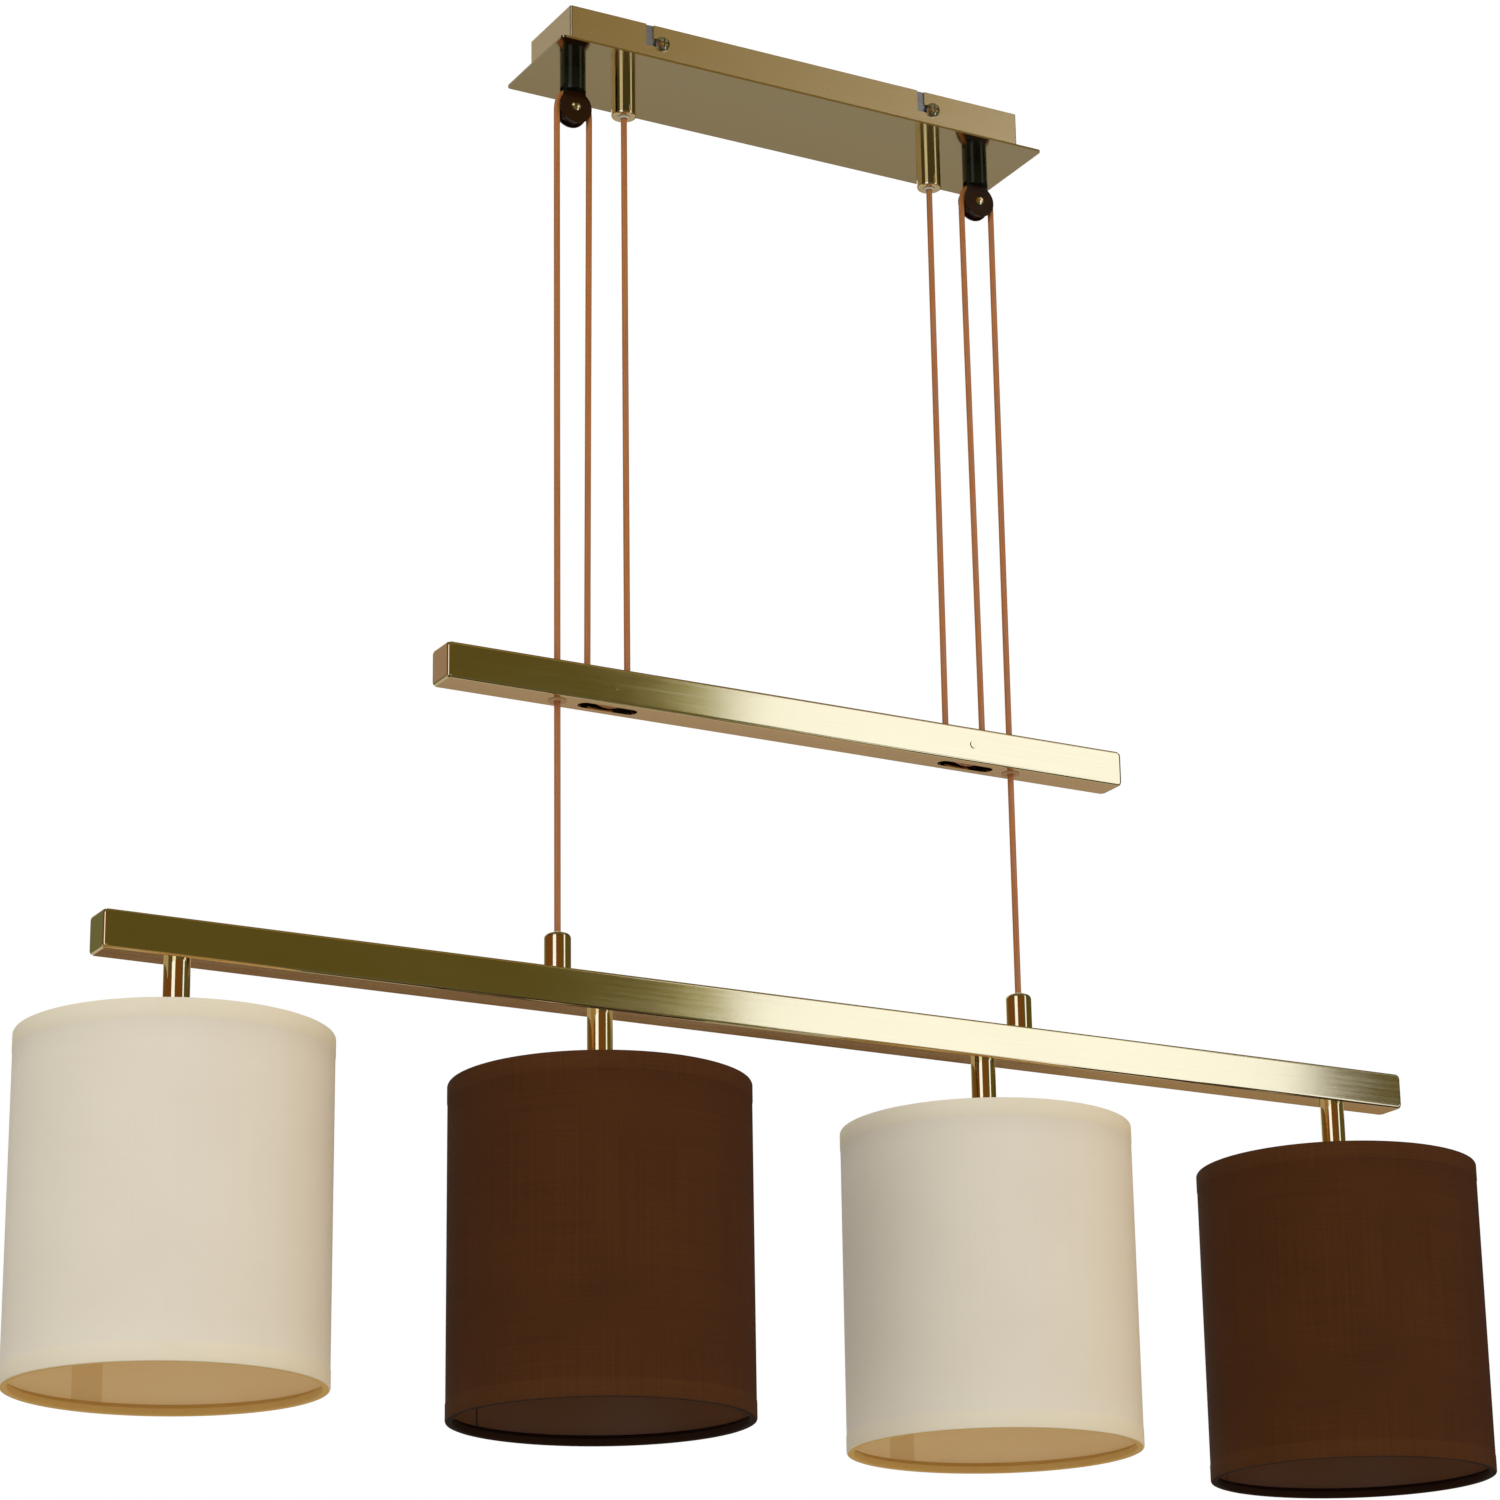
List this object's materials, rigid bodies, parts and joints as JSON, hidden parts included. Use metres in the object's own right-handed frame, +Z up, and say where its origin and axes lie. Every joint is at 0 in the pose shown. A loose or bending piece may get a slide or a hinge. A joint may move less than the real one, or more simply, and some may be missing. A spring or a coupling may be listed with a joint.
{
  "type": "rise and fall pendant",
  "caption": "Height-adjustable bar pendant: brass ceiling canopy with pulleys, a counterweight bar hung on the cables, and a lamp bar carrying drum fabric shades.",
  "frame": {"origin": "in the ceiling plane, above the middle of the canopy", "axes": "+X along the bars, -Y towards the front, +Z up to the ceiling"},
  "size_m": [0.819, 0.15, 0.741],
  "materials": {
    "satin_brass": "satin",
    "brass_finish_aluminium": "satin",
    "bright_screw_steel": "polished",
    "zinc_steel": "satin",
    "ballast_steel": "matte",
    "dark_gloss_plastic": "gloss",
    "brown_gloss_plastic": "gloss",
    "amber_cable_jacket": "gloss",
    "ivory_plastic": "matte",
    "contact_brass": "satin",
    "cream_fabric": "matte",
    "brown_fabric": "matte",
    "white_wire": "satin"
  },
  "bodies": {
    "canopy": {"ceiling_bracket": "zinc_steel", "canopy_wall_frame": "satin_brass", "canopy_base_plate": "satin_brass", "canopy_side_screws": "bright_screw_steel", "terminal_block": "ivory_plastic", "terminal_screws": "zinc_steel", "canopy_nuts": "zinc_steel", "canopy_leads": "amber_cable_jacket", "canopy_gland_left": "satin_brass", "canopy_gland_right": "satin_brass", "pulley_post_left": "dark_gloss_plastic", "pulley_post_right": "dark_gloss_plastic", "pulley_cheeks_left": "brown_gloss_plastic", "pulley_cheeks_right": "brown_gloss_plastic", "pulley_rivet_left": "satin_brass", "pulley_rivet_right": "satin_brass", "return_cable_left": "amber_cable_jacket", "return_cable_right": "amber_cable_jacket", "drop_cable_left": "amber_cable_jacket", "drop_cable_right": "amber_cable_jacket"},
    "ceiling_wheel_left": {"ceiling_wheel_left": "brown_gloss_plastic"},
    "ceiling_wheel_right": {"ceiling_wheel_right": "brown_gloss_plastic"},
    "counterweight": {"counterweight_tube": "satin_brass", "ballast_center": "ballast_steel", "ballast_left": "ballast_steel", "ballast_right": "ballast_steel", "cord_bushes": "dark_gloss_plastic", "counterweight_cap_left": "satin_brass", "counterweight_cap_right": "satin_brass", "counterweight_axle_left": "satin_brass", "counterweight_axle_right": "satin_brass"},
    "counterweight_wheel_left": {"counterweight_wheel_left": "brown_gloss_plastic"},
    "counterweight_wheel_right": {"counterweight_wheel_right": "brown_gloss_plastic"},
    "lamp_bar": {"lamp_bar_tube": "brass_finish_aluminium", "bar_nuts": "zinc_steel", "bar_connector": "ivory_plastic", "bar_leads": "amber_cable_jacket", "lampholder_contacts": "contact_brass", "shade_clamp_rings": "ivory_plastic", "shade_bottom_rings": "white_wire", "lamp_bar_cap_left": "brass_finish_aluminium", "lamp_bar_cap_right": "brass_finish_aluminium", "lamp_gland_left": "satin_brass", "lamp_gland_right": "satin_brass", "stem_1": "brass_finish_aluminium", "stem_2": "brass_finish_aluminium", "stem_3": "brass_finish_aluminium", "stem_4": "brass_finish_aluminium", "lampholder_1": "ivory_plastic", "lampholder_2": "ivory_plastic", "lampholder_3": "ivory_plastic", "lampholder_4": "ivory_plastic", "shade_1": "cream_fabric", "shade_2": "brown_fabric", "shade_3": "cream_fabric", "shade_4": "brown_fabric", "shade_frame_1": "white_wire", "shade_frame_2": "white_wire", "shade_frame_3": "white_wire", "shade_frame_4": "white_wire"}
  },
  "joints": [
    {"name": "lamp_rise", "type": "slide", "parent": "canopy", "child": "lamp_bar", "axis": [0, 0, 1], "range_m": [-0.585, 0.075], "deforming": ["drop_cable_left", "drop_cable_right"]},
    {"name": "counterweight_rise", "type": "slide", "parent": "canopy", "child": "counterweight", "axis": [0, 0, 1], "range_m": [-0.038, 0.293], "deforming": ["return_cable_left", "return_cable_right"]},
    {"name": "ceiling_wheel_left_spin", "type": "hinge", "parent": "canopy", "child": "ceiling_wheel_left", "pos_m": [-0.1253, 0, -0.047], "axis": [0, 1, 0], "range_deg": [-3530, 455]},
    {"name": "ceiling_wheel_right_spin", "type": "hinge", "parent": "canopy", "child": "ceiling_wheel_right", "pos_m": [0.1253, 0, -0.047], "axis": [0, 1, 0], "range_deg": [-455, 3530]},
    {"name": "counterweight_wheel_left_spin", "type": "hinge", "parent": "counterweight", "child": "counterweight_wheel_left", "pos_m": [-0.1064, 0, -0.3695], "axis": [0, 1, 0], "range_deg": [-290, 2240]},
    {"name": "counterweight_wheel_right_spin", "type": "hinge", "parent": "counterweight", "child": "counterweight_wheel_right", "pos_m": [0.1064, 0, -0.3695], "axis": [0, 1, 0], "range_deg": [-2240, 290]}
  ],
  "couplings": [
    {"joint": "counterweight_rise", "follows": "lamp_rise", "ratio": -0.5},
    {"joint": "ceiling_wheel_left_spin", "follows": "lamp_rise", "rad_per_m": 105.26},
    {"joint": "ceiling_wheel_right_spin", "follows": "lamp_rise", "rad_per_m": -105.26},
    {"joint": "counterweight_wheel_left_spin", "follows": "lamp_rise", "rad_per_m": -66.667},
    {"joint": "counterweight_wheel_right_spin", "follows": "lamp_rise", "rad_per_m": 66.667}
  ]
}
